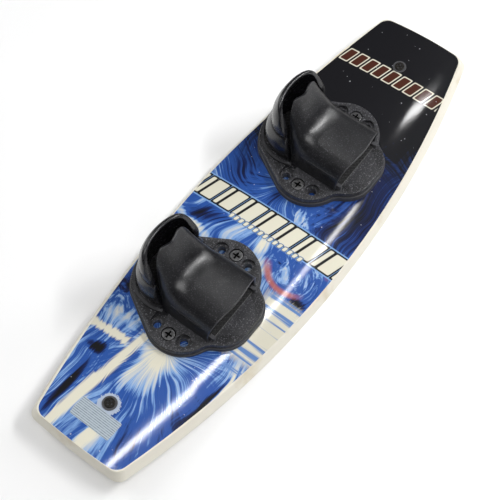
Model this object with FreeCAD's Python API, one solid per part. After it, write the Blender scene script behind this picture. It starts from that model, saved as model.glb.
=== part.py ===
import FreeCAD, Part
import math
import os

from FreeCAD import Vector

# Wakeboard with two rubber bindings. Millimetres, +Z up, +X towards the tip, +Y towards the heels.
# The origin is on the flat of the base, half way along the board and on its centreline.

# ---------------------------------------------------------------- board
LENGTH = 1460.0             # tip to tail, over the rail
RAIL_OUT = 15.0             # how far the rail's foot stands outside the deck sheet
RAIL_LIP = 2.5              # flat border of the rail beside the deck sheet
END_BOW = 5.0               # how far each end of the deck sheet bows out in the middle
DECK_HALF_MID = 215.0       # half width of the deck sheet amidships
DECK_HALF_END = 120.0       # half width of the deck sheet at its corners
SIDE_POWER = 1.93           # shape of the side: width falls with this power of the distance
CORNER_R = 30.0             # corners of the ends, seen from above
THICK_MID = 33.0            # thickness on the centreline amidships
CROWN_R = 2550.0            # radius of the deck's crown, across the board
FLAT_HALF = 118.0           # the base is flat this far each side of the middle
BASE_RISE = 40.5            # rocker of the base at the deck corners
DECK_RISE = 35.7            # rocker of the deck there, less because the ends are thinner
SKIN = 1.5                  # deck sheet and base laminate
RAIL_IN = 12.0              # rail width under the deck sheet
STATIONS = 36               # stations along the board used for its curves

# ---------------------------------------------------------------- bindings
STANCE = 514.0              # between the two binding centres
RING_R = 130.0              # radius of the stance-hole arcs about the binding centre
HOLE_STEP = 18.0            # degrees between stance holes
HOLE_R = 10.5               # stance hole through the plate
BORE_DEPTH = 8.0
PLATE_BOTTOM = 11.0         # plate's underside above the deck's middle line
PLATE_THICK = 18.0
PLATE_EDGE_R = 2.0          # rounding of the plate's top edge
GASKET_SKIRT = 3.5          # how far the gasket stands out round the plate
GASKET_LIP = 2.0            # how far the skirt climbs the plate's side
EAR_CENTRE = 76.0           # ear circle, from the binding centre
EAR_R = 90.0
EAR_FROM = -76.0            # ear arc, degrees from the line through both ears
EAR_TO = 34.0
TOE_HALF = 64.0             # half width of the plate's toe edge
TOE_Y = -145.0
HEEL_Y = 187.0
HEEL_R = 130.0              # radius of the plate's heel edge
HEEL_HALF = 94.0            # half width where the sides meet the heel edge
PLATE_CORNER_R = 45.0       # waist and heel corners
TOE_CORNER_R = 70.0
POCKET_REACH = 42.0         # recess beside the heel-side stance holes, towards the boot

FOOTBED_HALF = 72.0
FOOTBED_TOE = -92.0
FOOTBED_HEEL = 150.0
FOOTBED_THICK = 8.0

RUBBER = 6.0                # wall of the instep cover
CUP_WALL = 12.0             # wall of the heel piece
FOOT_HALF = 92.0            # half width of the instep cover at its feet
COLLAR_DIP = 33.0           # how far the collar's rim dips in the middle
COLLAR_WRAP = 110.0         # how far the collar's flanks lean round the ankle
ROUGH_FIT = 0.6             # clearance between loose neighbours

# Instep cover, toe to collar: foot y, crown y, crown height, squareness of the arch, dip of the
# crown below the shoulders, narrowing at the crown, power of the sweep from foot to crown
INSTEP = (
    (-86.0, -106.0, 114.0, 3.7, 0.0, 0.0, 2.0),
    (-58.0, -72.0, 117.0, 3.6, 0.0, 0.0, 2.0),
    (-25.0, -32.0, 120.0, 3.5, 0.0, 0.0, 2.0),
    (8.0, 8.0, 125.0, 3.4, 0.0, 2.0, 1.8),
    (26.0, 35.0, 139.0, 3.3, 1.0, 8.0, 1.4),
    (36.0, 54.0, 168.0, 3.5, 6.0, 18.0, 1.0),
    (43.0, 68.0, 203.0, 3.6, 15.0, 27.0, 0.7),
    (47.0, 75.0, 237.0, 3.7, COLLAR_DIP, 34.0, 0.5),
)

CUP_TOP = 213.0             # rim of the heel cup above the deck's middle line, at the back
CUP_DROP = 66.0             # how far the rim falls to its front corners
CUP_DROP_POWER = 5.0
CUP_SPLIT = 112.0           # groove between heel rand and heel cup
CUP_GAP = 1.0               # open groove between the two
CUP_CENTRE_Y = 85.0
CUP_HALF_BASE = 90.0
CUP_HALF_TOP = 80.0
CUP_BACK_BASE = 84.0        # from the cup's centre back to the heel, at the base
CUP_BACK_TOP = 40.0         # the same at the rim: the back leans forward
CUP_LEAN_POWER = 1.3
CUP_FRONT_BASE = 52.0       # y of the front edge at the base
CUP_FRONT_TOP = 90.0        # y of the front edge at the rim
CUP_BULGE = 6.0             # swell of the upper band
RAND_BULGE = 8.0            # swell of the lower band
FRAME_WIDTH = 7.0           # heel frame round the foot of the rand
FRAME_THICK = 6.0

RAIL_WIDTH = 9.0            # clamp rail inside the instep's feet
RAIL_HEIGHT = 14.0
RAIL_TOE = -98.0
RAIL_HEEL = 22.0
RAIL_GAP = 3.0              # between a clamp rail and the wall of the cover
RAIL_SCREWS = (-80.0, -35.0, 10.0)
RAIL_SCREW_R = 2.5
RAIL_HEAD_R = 4.4
RAIL_HEAD_H = 3.0
RAIL_SCREW_GRIP = 10.0      # length of the screw in the plate

# ---------------------------------------------------------------- fasteners
SCREW_R = 4.5
SCREW_LENGTH = 38.0
SCREW_HEAD_R = 16.0
SCREW_HEAD_H = 5.5
WASHER_R = SCREW_HEAD_R + 1.0
BORE_R = WASHER_R + 1.0      # counterbores in the plate round the washers
WASHER_T = 1.8
CROSS_LENGTH = 20.0         # cross recess in the screw heads
CROSS_WIDTH = 4.6
CROSS_DEPTH = 3.8
INSERT_R = 8.0
INSERT_FLANGE_R = 12.0
INSERT_FLANGE_T = 2.0
INSERT_LENGTH = 24.0
INSERT_FLOOR = 2.0
INSERT_SINK = 0.3           # top of an insert below the deck sheet

# ---------------------------------------------------------------- fins
FIN_X = 600.0               # fin screws from the board's middle
FIN_LENGTH = 128.0
FIN_DEPTH = 17.0
FIN_WIDTH = 7.0
FIN_FOOT_WIDTH = 26.0
FIN_FOOT_THICK = 4.0
FIN_NUT_R = 2.9
FIN_NUT_LENGTH = 9.0
FIN_SCREW_R = 2.0
FIN_BOLT_R = 4.0
FIN_HEAD_R = 13.0
FIN_HEAD_H = 3.0
FIN_CUP_R = 18.0
FIN_CUP_T = 2.0
SLEEVE_R = 7.0

LABEL_X = -643.0            # blank label on the tail
LABEL_Y = 1.0
LABEL_LONG = 113.0
LABEL_WIDE = 50.0
LABEL_THICK = 0.4

# ---------------------------------------------------------------- worked-out sizes
DECK_HALF = LENGTH / 2 - RAIL_OUT - END_BOW
PLATE_TOP = PLATE_BOTTOM + PLATE_THICK
BINDING_X = STANCE / 2
SPAN = LENGTH / 2 + 60.0
WIDE = DECK_HALF_MID + RAIL_OUT + 60.0
HIGH = THICK_MID + BASE_RISE + 60.0


# ---------------------------------------------------------------- small helpers
def volume_of(shape):
    """The shape's solids as one solid, or as a compound when there are several."""
    solids = shape.Solids
    return solids[0] if len(solids) == 1 else Part.makeCompound(solids)


def cylinder(radius, height, x, y, z):
    return Part.makeCylinder(radius, height, Vector(x, y, z))


def block(x0, x1, y0, y1, z0, z1):
    return Part.makeBox(x1 - x0, y1 - y0, z1 - z0, Vector(x0, y0, z0))


def edges_on(shape, test):
    """Edges whose every sampled point passes the test."""
    found = []
    for edge in shape.Edges:
        points = edge.discretize(5)
        if all(test(point) for point in points):
            found.append(edge)
    return found


def upright_edges(shape):
    """Edges that run from the bottom to the top of a prism."""
    box = shape.BoundBox
    return [e for e in shape.Edges if e.BoundBox.ZLength > 0.9 * box.ZLength]


def curve_through(points):
    curve = Part.BSplineCurve()
    curve.interpolate(points)
    return curve.toShape()


def sheet_through(grid):
    surface = Part.BSplineSurface()
    surface.interpolate(grid)
    return surface


def thick_sheet(outer, inner):
    """Closed solid between two point grids of the same size."""
    faces = []
    skins = [sheet_through(outer), sheet_through(inner)]
    for skin in skins:
        faces.append(skin.toShape())
    bounds = []
    for skin in skins:
        u0, u1, v0, v1 = skin.bounds()
        sides = (skin.uIso(u0), skin.uIso(u1), skin.vIso(v0), skin.vIso(v1))
        bounds.append([side.toShape() for side in sides])
    for first, second in zip(*bounds):
        faces.append(Part.makeRuledSurface(first, second))
    skin = Part.makeCompound(faces)
    skin.sewShape()
    solid = Part.makeSolid(skin.Shells[0])
    if solid.Volume < 0:
        solid.reverse()
    return solid


def offset_grid(point, us, vs, distance):
    """Grid of points moved into the arch, along the surface's own normal."""
    step = 1e-3
    grid = []
    for u in us:
        row = []
        for v in vs:
            du = point(min(u + step, us[-1]), v) - point(max(u - step, us[0]), v)
            dv = point(u, min(v + step, vs[-1])) - point(u, max(v - step, vs[0]))
            normal = du.cross(dv)
            normal.normalize()
            row.append(point(u, v) + normal * distance)
        grid.append(row)
    return grid


def spread(start, end, count):
    return [start + (end - start) * i / (count - 1) for i in range(count)]


# ---------------------------------------------------------------- board surfaces
def rise(x):
    """Share of the full rocker at a station."""
    past = max(0.0, abs(x) - FLAT_HALF) / (DECK_HALF - FLAT_HALF)
    return past * past


def base_height(x):
    return BASE_RISE * rise(x)


def deck_height(x, y):
    return THICK_MID + DECK_RISE * rise(x) - y * y / (2 * CROWN_R)


def half_width(x):
    share = (abs(x) / DECK_HALF) ** SIDE_POWER
    return DECK_HALF_MID - (DECK_HALF_MID - DECK_HALF_END) * share


def below_deck(drop):
    """Everything under the deck surface lowered by the drop."""
    grid = []
    for x in spread(-SPAN, SPAN, STATIONS + 1):
        grid.append([Vector(x, y, deck_height(x, y) - drop) for y in spread(-WIDE, WIDE, 7)])
    return sheet_through(grid).toShape().extrude(Vector(0, 0, -HIGH))


def above_base(lift):
    """Everything over the base surface raised by the lift; its middle is a true plane."""
    edges = []
    for end in (-1, 1):
        xs = spread(end * FLAT_HALF, end * SPAN, STATIONS // 2 + 1)
        edges.append(curve_through([Vector(x, -WIDE, base_height(x) + lift) for x in xs]))
    near, far = [Vector(end * FLAT_HALF, -WIDE, lift) for end in (-1, 1)]
    tail, tip = [Vector(end * SPAN, -WIDE, base_height(SPAN) + lift) for end in (-1, 1)]
    over_tail = tail + Vector(0, 0, 2 * HIGH)
    over_tip = tip + Vector(0, 0, 2 * HIGH)
    edges.append(Part.makeLine(near, far))
    edges.append(Part.makeLine(tip, over_tip))
    edges.append(Part.makeLine(over_tip, over_tail))
    edges.append(Part.makeLine(over_tail, tail))
    wire = Part.Wire(Part.__sortEdges__(edges))
    return Part.Face(wire).extrude(Vector(0, 2 * WIDE, 0))


def outline(z, grow):
    """Plan of the deck sheet at a height, grown at each station by grow(x)."""
    end = DECK_HALF + grow(DECK_HALF)
    edges = []
    for side in (1, -1):
        points = []
        for share in spread(-1.0, 1.0, STATIONS + 1):
            x = share * DECK_HALF
            points.append(Vector(share * end * side, side * (half_width(x) + grow(x)), z))
        edges.append(curve_through(points))
        corner = points[-1]
        bow = Vector(side * (end + END_BOW), 0, z)
        across = Vector(corner.x, -corner.y, z)
        edges.append(Part.Arc(corner, bow, across).toShape())
    return Part.Wire(edges)


def straight_prism(grow):
    """Upright prism on the deck sheet's plan, grown by a fixed amount."""
    face = Part.Face(outline(-HIGH, lambda x: grow))
    solid = face.extrude(Vector(0, 0, 3 * HIGH))
    return solid.makeFillet(CORNER_R + grow, upright_edges(solid))


def flared_prism():
    """Prism whose wall leans as the rail does: lip at the deck, full width at the base."""
    def grow_at(z):
        def grow(x):
            deck = deck_height(x, half_width(x))
            slope = (RAIL_OUT - RAIL_LIP) / (deck - base_height(x))
            return RAIL_LIP + slope * (deck - z)
        return grow
    top = HIGH
    solid = Part.makeLoft([outline(0, grow_at(0)), outline(top, grow_at(top))], True, True)
    return solid.makeFillet(CORNER_R, upright_edges(solid))


# ---------------------------------------------------------------- fasteners
def cross_recess(x, y, top, length):
    """Cross-shaped recess cut into a screw head from its top."""
    half = length / 2
    arm = CROSS_WIDTH / 2
    along = block(x - half, x + half, y - arm, y + arm, top - CROSS_DEPTH, top + 1)
    across = block(x - arm, x + arm, y - half, y + half, top - CROSS_DEPTH, top + 1)
    return along.fuse(across)


def cross_head(x, y, z, radius, height, length):
    """Low domed head with a cross recess, seated at z."""
    head = cylinder(radius, height, x, y, z)
    rim = edges_on(head, lambda p: abs(p.z - z - height) < 1e-6)
    head = head.makeFillet(height * 0.4, rim)
    return head.cut(cross_recess(x, y, z + height, length))


def screw_spots():
    return [(side * BINDING_X + ear * RING_R, 0.0) for side in (1, -1) for ear in (1, -1)]


def seat_height():
    """Height of the counterbore floor in the board's frame."""
    return THICK_MID + PLATE_TOP - BORE_DEPTH


def mount_screw(x, y):
    under_head = seat_height() + WASHER_T
    head = cross_head(x, y, under_head, SCREW_HEAD_R, SCREW_HEAD_H, CROSS_LENGTH)
    return head.fuse(cylinder(SCREW_R, SCREW_LENGTH, x, y, under_head - SCREW_LENGTH))


def mount_washer(x, y):
    ring = cylinder(WASHER_R, WASHER_T, x, y, seat_height())
    return ring.cut(cylinder(SCREW_R, WASHER_T, x, y, seat_height()))


def insert_top(x):
    return deck_height(x, 0) - SKIN


def insert(x, y):
    top = insert_top(x)
    barrel = cylinder(INSERT_R, INSERT_LENGTH, x, y, top - INSERT_LENGTH)
    flange = cylinder(INSERT_FLANGE_R, INSERT_FLANGE_T, x, y, top - INSERT_FLANGE_T)
    bore = cylinder(SCREW_R, INSERT_LENGTH, x, y, top - INSERT_LENGTH + INSERT_FLOOR)
    return barrel.fuse(flange).cut(bore)


def insert_pocket(x, y):
    top = insert_top(x)
    pocket = cylinder(INSERT_R, INSERT_LENGTH, x, y, top - INSERT_LENGTH)
    return pocket.fuse(cylinder(INSERT_FLANGE_R, HIGH, x, y, top - INSERT_FLANGE_T))


# ---------------------------------------------------------------- fins
def fin_frame(side):
    """Placement of a fin: on the base at the fin screw, along the rocker."""
    slope = 2 * BASE_RISE * (FIN_X - FLAT_HALF) / (DECK_HALF - FLAT_HALF) ** 2
    tilt = -side * math.degrees(math.atan(slope))
    turn = FreeCAD.Rotation(Vector(0, 1, 0), tilt)
    return FreeCAD.Placement(Vector(side * FIN_X, 0, base_height(FIN_X)), turn)


def placed(shape, placement):
    moved = shape.copy()
    moved.Placement = placement.multiply(shape.Placement)
    return moved


def fin(side, board_block):
    """Long low fin: a foot that follows the base and a blade with a curved keel."""
    half = FIN_LENGTH / 2
    into = 12.0
    foot = block(-half, half, -FIN_FOOT_WIDTH / 2, FIN_FOOT_WIDTH / 2, -FIN_FOOT_THICK, into)
    foot = foot.makeFillet(FIN_FOOT_WIDTH / 2 - 1, upright_edges(foot))
    keel = Part.Arc(Vector(-half + 6, 0, 0), Vector(0, 0, -FIN_DEPTH), Vector(half - 6, 0, 0)).toShape()
    points = (Vector(half - 6, 0, 0), Vector(half - 6, 0, into), Vector(-half + 6, 0, into), Vector(-half + 6, 0, 0))
    wire = Part.Wire([keel, Part.makePolygon(points)])
    blade = Part.Face(wire).extrude(Vector(0, FIN_WIDTH, 0))
    blade.translate(Vector(0, -FIN_WIDTH / 2, 0))
    whole = placed(foot.fuse(blade), fin_frame(side))
    return whole.cut(board_block)


def fin_nut(side):
    nut = cylinder(FIN_NUT_R, FIN_NUT_LENGTH, 0, 0, -FIN_NUT_LENGTH)
    return placed(nut, fin_frame(side))


def fin_axis_solid(side, radius, low, high):
    """Round bar along the fin screw's axis, heights measured from the base there."""
    return placed(cylinder(radius, high - low, 0, 0, low), fin_frame(side))


def deck_over_fin():
    """Deck surface above the base, along the fin screw's axis."""
    return deck_height(FIN_X, 0) - base_height(FIN_X)


# ---------------------------------------------------------------- binding pieces, own frame
# A binding's own frame has its origin on the deck's middle line at the binding centre.
def plate_outline(grow):
    """Slab of the base plate's plan, 1 mm high, at z = 0."""
    heel_side = HEEL_Y - HEEL_R + math.sqrt(HEEL_R ** 2 - HEEL_HALF ** 2)

    def ear_point(angle):
        turn = math.radians(angle)
        return Vector(EAR_CENTRE + EAR_R * math.cos(turn), EAR_R * math.sin(turn), 0)
    toe = Vector(TOE_HALF, TOE_Y, 0)
    waist = ear_point(EAR_FROM)
    shoulder = ear_point(EAR_TO)
    heel = Vector(HEEL_HALF, heel_side, 0)

    def mirrored(point):
        return Vector(-point.x, point.y, 0)
    edges = [
        Part.makeLine(toe, waist),
        Part.Arc(waist, ear_point(0), shoulder).toShape(),
        Part.makeLine(shoulder, heel),
        Part.Arc(heel, Vector(0, HEEL_Y, 0), mirrored(heel)).toShape(),
        Part.makeLine(mirrored(heel), mirrored(shoulder)),
        Part.Arc(mirrored(shoulder), mirrored(ear_point(0)), mirrored(waist)).toShape(),
        Part.makeLine(mirrored(waist), mirrored(toe)),
        Part.makeLine(mirrored(toe), toe),
    ]
    solid = Part.Face(Part.Wire(edges)).extrude(Vector(0, 0, 1))
    for radius, corners in ((TOE_CORNER_R, [toe]), (PLATE_CORNER_R, [waist, heel])):
        chosen = []
        for edge in upright_edges(solid):
            middle = edge.CenterOfMass
            here = Vector(abs(middle.x), middle.y, 0)
            if any(here.distanceToPoint(corner) < 0.1 for corner in corners):
                chosen.append(edge)
        solid = solid.makeFillet(radius, chosen)
    if grow == 0:
        return solid
    bottom = min(solid.Faces, key=lambda f: f.CenterOfMass.z)
    return bottom.makeOffset2D(grow).extrude(Vector(0, 0, 1))


def plan_prism(grow, low, high):
    """Prism of the plate's plan between two heights."""
    slab = plate_outline(grow)
    bottom = min(slab.Faces, key=lambda f: f.CenterOfMass.z)
    face = bottom.copy()
    face.translate(Vector(0, 0, low))
    return face.extrude(Vector(0, 0, high - low))


def stance_holes():
    spots = []
    for ear in (1, -1):
        for step in (-1, 0, 1):
            angle = math.radians(HOLE_STEP * step)
            spots.append((ear * RING_R * math.cos(angle), RING_R * math.sin(angle), step))
    return spots


def base_plate():
    plate = plan_prism(0, PLATE_BOTTOM, PLATE_TOP)
    rim = edges_on(plate, lambda p: abs(p.z - PLATE_TOP) < 1e-6)
    plate = plate.makeFillet(PLATE_EDGE_R, rim)
    floor = PLATE_TOP - BORE_DEPTH
    for x, y, step in stance_holes():
        plate = plate.cut(cylinder(HOLE_R, PLATE_THICK, x, y, PLATE_BOTTOM))
        plate = plate.cut(cylinder(BORE_R, BORE_DEPTH, x, y, floor))
        if step == 1:
            side = math.copysign(1, x)
            x_inner = side * (abs(x) - POCKET_REACH)
            ends = sorted((x, x_inner))
            plate = plate.cut(block(*ends, y - BORE_R * 0.5, y + BORE_R, floor, PLATE_TOP))
    for side in (1, -1):
        for y in RAIL_SCREWS:
            x = side * rail_line()
            plate = plate.cut(cylinder(RAIL_SCREW_R, RAIL_SCREW_GRIP, x, y, PLATE_TOP - RAIL_SCREW_GRIP))
    return volume_of(plate)


def gasket(centre_x, deck_block):
    pad = plan_prism(GASKET_SKIRT, -THICK_MID, PLATE_BOTTOM + GASKET_LIP)
    pad = pad.cut(plan_prism(0, PLATE_BOTTOM, PLATE_TOP))
    for x, y, step in stance_holes():
        pad = pad.cut(cylinder(HOLE_R, THICK_MID + PLATE_TOP, x, y, -THICK_MID))
    pad.translate(Vector(centre_x, 0, THICK_MID))
    return volume_of(pad.cut(deck_block))


def footbed():
    pad = block(-FOOTBED_HALF, FOOTBED_HALF, FOOTBED_TOE, FOOTBED_HEEL, PLATE_TOP, PLATE_TOP + FOOTBED_THICK)
    heel_ends = [e for e in upright_edges(pad) if e.CenterOfMass.y > 0]
    pad = pad.makeFillet(FOOTBED_HALF * 0.9, heel_ends)
    toe_ends = [e for e in upright_edges(pad) if e.CenterOfMass.y < FOOTBED_TOE + 1]
    return pad.makeFillet(FOOTBED_HALF * 0.3, toe_ends)


def rail_line():
    """Distance of a clamp rail's middle from the binding's middle plane."""
    return FOOT_HALF - RUBBER - RAIL_GAP - RAIL_WIDTH / 2


def clamp_rail(side):
    half = RAIL_WIDTH / 2
    x = side * rail_line()
    bar = block(x - half, x + half, RAIL_TOE, RAIL_HEEL, PLATE_TOP, PLATE_TOP + RAIL_HEIGHT)
    bar = bar.makeFillet(half * 0.9, upright_edges(bar))
    for y in RAIL_SCREWS:
        bar = bar.cut(cylinder(RAIL_SCREW_R, RAIL_HEIGHT, x, y, PLATE_TOP))
    return bar


def rail_screw(side, y):
    x = side * rail_line()
    top = PLATE_TOP + RAIL_HEIGHT
    shank = cylinder(RAIL_SCREW_R, RAIL_HEIGHT + RAIL_SCREW_GRIP, x, y, PLATE_TOP - RAIL_SCREW_GRIP)
    return cylinder(RAIL_HEAD_R, RAIL_HEAD_H, x, y, top).fuse(shank)


def between(values, share):
    """Value at a share of the way along a row, smoothly through its steps."""
    last = len(values) - 1
    place = min(max(share * last, 0.0), float(last))
    left = min(int(place), last - 1)
    t = place - left
    a = values[max(left - 1, 0)]
    b = values[left]
    c = values[left + 1]
    d = values[min(left + 2, last)]
    bend = (2 * a - 5 * b + 4 * c - d) * t * t + (3 * b - a - 3 * c + d) * t ** 3
    return b + 0.5 * ((c - a) * t + bend)


def instep_point(along, around):
    """Outer face of the instep cover: along from toe to collar, around from foot to foot."""
    foot, top, crown, square, dip, taper, sweep = (between(row, along) for row in zip(*INSTEP))
    across = -math.cos(math.pi * around)
    up = max(math.sin(math.pi * around), 0.0)
    reach = (abs(across) ** square + up ** square) ** (-1 / square)
    share = reach * up
    z = PLATE_TOP + (crown - PLATE_TOP) * share - dip * up ** 3
    half = FOOT_HALF - taper * share ** 0.5
    wrap = COLLAR_WRAP * up ** 3 * (1 - up) * max(0.0, (along - 0.6) / 0.4) ** 1.5
    return Vector(half * reach * across, foot + (top - foot) * up ** sweep + wrap, z)


def instep():
    """Arch over the foot that sweeps up into a thin ankle collar."""
    alongs = spread(0.0, 1.0, 15)
    arounds = spread(0.0, 1.0, 21)
    outer = [[instep_point(a, s) for s in arounds] for a in alongs]
    inner = offset_grid(instep_point, alongs, arounds, RUBBER)
    for row in inner:
        for end in (0, -1):
            row[end] = Vector(row[end].x, row[end].y, PLATE_TOP)
    return thick_sheet(outer, inner)


def cup_rim(around):
    return CUP_TOP - CUP_DROP * abs(around) ** CUP_DROP_POWER


def cup_point(around, height, inset):
    """Face of the heel piece: around from -1 to 1 through the heel, at a height, moved in by inset."""
    share = (height - PLATE_TOP) / (CUP_TOP - PLATE_TOP)
    half = CUP_HALF_BASE + (CUP_HALF_TOP - CUP_HALF_BASE) * share
    back = CUP_BACK_BASE + (CUP_BACK_TOP - CUP_BACK_BASE) * share ** CUP_LEAN_POWER
    front = CUP_FRONT_BASE + (CUP_FRONT_TOP - CUP_FRONT_BASE) * share
    if inset == 0:
        low, high, swell = PLATE_TOP, CUP_SPLIT, RAND_BULGE
        if height > CUP_SPLIT:
            low, high, swell = CUP_SPLIT, cup_rim(around), CUP_BULGE
        swell = swell * math.sin(math.pi * (height - low) / (high - low))
        half = half + swell
        back = back + swell
    limit = math.acos((front - CUP_CENTRE_Y) / back)
    angle = around * limit
    return Vector((half - inset) * math.sin(angle), CUP_CENTRE_Y + (back - inset) * math.cos(angle), height)


def heel_band(low, high):
    """Bent wall of the heel piece between a level and the height high(around)."""
    outer = []
    inner = []
    for around in spread(-1.0, 1.0, 25):
        heights = spread(low, high(around), 9)
        outer.append([cup_point(around, height, 0) for height in heights])
        inner.append([cup_point(around, height, CUP_WALL) for height in heights])
    return thick_sheet(outer, inner)


def heel_frame():
    """Moulded frame round the foot of the heel rand."""
    arounds = spread(-1.0, 1.0, 25)
    foot = [cup_point(a, PLATE_TOP, -ROUGH_FIT - RAND_BULGE) for a in arounds]
    outer = [cup_point(a, PLATE_TOP, -ROUGH_FIT - RAND_BULGE - FRAME_WIDTH) for a in arounds]
    ends = [Part.makeLine(foot[0], outer[0]), Part.makeLine(outer[-1], foot[-1])]
    wire = Part.Wire([curve_through(foot), ends[1], curve_through(outer), ends[0]])
    return Part.Face(wire).extrude(Vector(0, 0, FRAME_THICK))


# ---------------------------------------------------------------- the whole object
def board_parts():
    deck_block = below_deck(0)
    board_block = deck_block.common(above_base(0))
    under_skin = below_deck(SKIN).common(above_base(SKIN))
    plan = straight_prism(0)
    core_plan = straight_prism(-RAIL_IN)

    deck_sheet = board_block.common(plan).cut(below_deck(SKIN))
    base_laminate = board_block.common(plan).cut(above_base(SKIN))
    core = under_skin.common(core_plan)
    rail = board_block.common(flared_prism()).cut(core_plan).cut(deck_sheet).cut(base_laminate)

    under_inserts = below_deck(SKIN + INSERT_SINK)
    inserts = []
    for x, y in screw_spots():
        inserts.append(insert(x, y).common(under_inserts))
        core = core.cut(insert_pocket(x, y))
        deck_sheet = deck_sheet.cut(cylinder(SCREW_R, HIGH, x, y, 0))
    over = deck_over_fin()
    sleeves = []
    for side in (1, -1):
        hole = fin_axis_solid(side, SLEEVE_R, -10, over + 10)
        core = core.cut(hole)
        deck_sheet = deck_sheet.cut(hole)
        base_laminate = base_laminate.cut(hole)
        tube = fin_axis_solid(side, SLEEVE_R, -10, over + 10).common(board_block)
        sleeves.append(tube.cut(fin_axis_solid(side, FIN_BOLT_R, -10, over + 10)))

    label = block(LABEL_X - LABEL_WIDE / 2, LABEL_X + LABEL_WIDE / 2,
                  LABEL_Y - LABEL_LONG / 2, LABEL_Y + LABEL_LONG / 2, 0, HIGH)
    label = label.makeFillet(4, upright_edges(label))
    label = label.common(below_deck(-LABEL_THICK)).cut(deck_block)

    return deck_block, board_block, {
        "foam_core": core,
        "base_laminate": base_laminate,
        "deck_sheet": deck_sheet,
        "edge_rail": rail,
        "binding_inserts": Part.makeCompound([volume_of(i) for i in inserts]),
        "fin_sleeves": Part.makeCompound([volume_of(s) for s in sleeves]),
        "tail_label": label,
    }


def fin_parts(board_block):
    parts = {}
    over = deck_over_fin()
    nuts = []
    screws = []
    cups = []
    for side, name in ((1, "tip_fin"), (-1, "tail_fin")):
        nut = fin_nut(side)
        parts[name] = fin(side, board_block).cut(nut)
        nuts.append(nut.cut(fin_axis_solid(side, FIN_SCREW_R, -FIN_NUT_LENGTH + 1, 1)))
        seat = over + FIN_CUP_T
        head = cross_head(0, 0, seat, FIN_HEAD_R, FIN_HEAD_H, CROSS_LENGTH * 0.8)
        head = placed(head, fin_frame(side))
        shank = fin_axis_solid(side, FIN_BOLT_R, 0.2, seat)
        thread = fin_axis_solid(side, FIN_SCREW_R, -FIN_NUT_LENGTH + 2, 0.2)
        screws.append(volume_of(head.fuse(shank).fuse(thread)))
        cup = fin_axis_solid(side, FIN_CUP_R, over - 4, seat).cut(board_block)
        cups.append(volume_of(cup.cut(fin_axis_solid(side, SLEEVE_R, over - 5, seat))
                              .fuse(fin_axis_solid(side, SLEEVE_R, over + 0.3, seat))
                              .cut(fin_axis_solid(side, FIN_BOLT_R, over - 5, seat))))
    parts["fin_nuts"] = Part.makeCompound([volume_of(n) for n in nuts])
    parts["fin_screws"] = Part.makeCompound(screws)
    parts["fin_cup_washers"] = Part.makeCompound(cups)
    return parts


def binding_parts(deck_block):
    local = {
        "plate": base_plate(),
        "footbed": footbed(),
        "instep": instep(),
        "heel_rand": heel_band(PLATE_TOP, lambda around: CUP_SPLIT - CUP_GAP),
        "heel_cup": heel_band(CUP_SPLIT, cup_rim),
        "heel_frame": heel_frame(),
        "clamp_rails": Part.makeCompound([clamp_rail(side) for side in (1, -1)]),
    }
    parts = {}
    screws = []
    for name, centre in (("front", BINDING_X), ("rear", -BINDING_X)):
        shift = Vector(centre, 0, THICK_MID)
        parts[name + "_gasket"] = gasket(centre, deck_block)
        for piece, shape in local.items():
            parts[name + "_" + piece] = shape.translated(shift)
        for side in (1, -1):
            screws += [rail_screw(side, y).translated(shift) for y in RAIL_SCREWS]
    parts["clamp_screws"] = Part.makeCompound(screws)
    parts["binding_screws"] = Part.makeCompound([mount_screw(x, y) for x, y in screw_spots()])
    parts["binding_washers"] = Part.makeCompound([mount_washer(x, y) for x, y in screw_spots()])
    return parts


def main():
    os.makedirs("parts", exist_ok=True)
    deck_block, board_block, parts = board_parts()
    parts.update(fin_parts(board_block))
    parts.update(binding_parts(deck_block))
    for name, shape in parts.items():
        shape.exportStep("parts/" + name + ".step")


main()
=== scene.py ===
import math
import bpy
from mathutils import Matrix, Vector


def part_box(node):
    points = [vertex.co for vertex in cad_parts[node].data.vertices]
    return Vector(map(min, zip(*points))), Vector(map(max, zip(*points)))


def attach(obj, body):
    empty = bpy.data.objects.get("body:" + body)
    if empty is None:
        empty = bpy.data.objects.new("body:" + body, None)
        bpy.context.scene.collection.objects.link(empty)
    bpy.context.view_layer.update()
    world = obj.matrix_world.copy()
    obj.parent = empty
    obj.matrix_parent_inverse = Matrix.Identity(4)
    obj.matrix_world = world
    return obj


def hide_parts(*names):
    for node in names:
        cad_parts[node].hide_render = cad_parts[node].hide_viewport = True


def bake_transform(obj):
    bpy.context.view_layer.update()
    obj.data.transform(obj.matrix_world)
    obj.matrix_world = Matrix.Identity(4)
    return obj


bl_info = {
    "name": "Wakeboard",
    "version": (1, 0, 0),
    "blender": (4, 5, 0),
    "location": "View3D > Sidebar > Wakeboard",
    "description": "Finishes a wakeboard and its two slip-in boots on their packed frame",
    "category": "Object",
}

import bmesh
import bpy
from bpy.props import FloatProperty, FloatVectorProperty, PointerProperty
from mathutils import Matrix, Vector

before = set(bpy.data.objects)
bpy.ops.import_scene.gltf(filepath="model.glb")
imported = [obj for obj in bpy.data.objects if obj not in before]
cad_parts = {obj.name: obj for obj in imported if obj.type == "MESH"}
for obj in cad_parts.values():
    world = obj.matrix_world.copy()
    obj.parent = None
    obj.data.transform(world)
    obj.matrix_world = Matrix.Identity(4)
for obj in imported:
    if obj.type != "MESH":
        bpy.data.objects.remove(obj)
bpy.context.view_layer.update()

MM = 0.001
BINDINGS = ("front", "rear")

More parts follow.
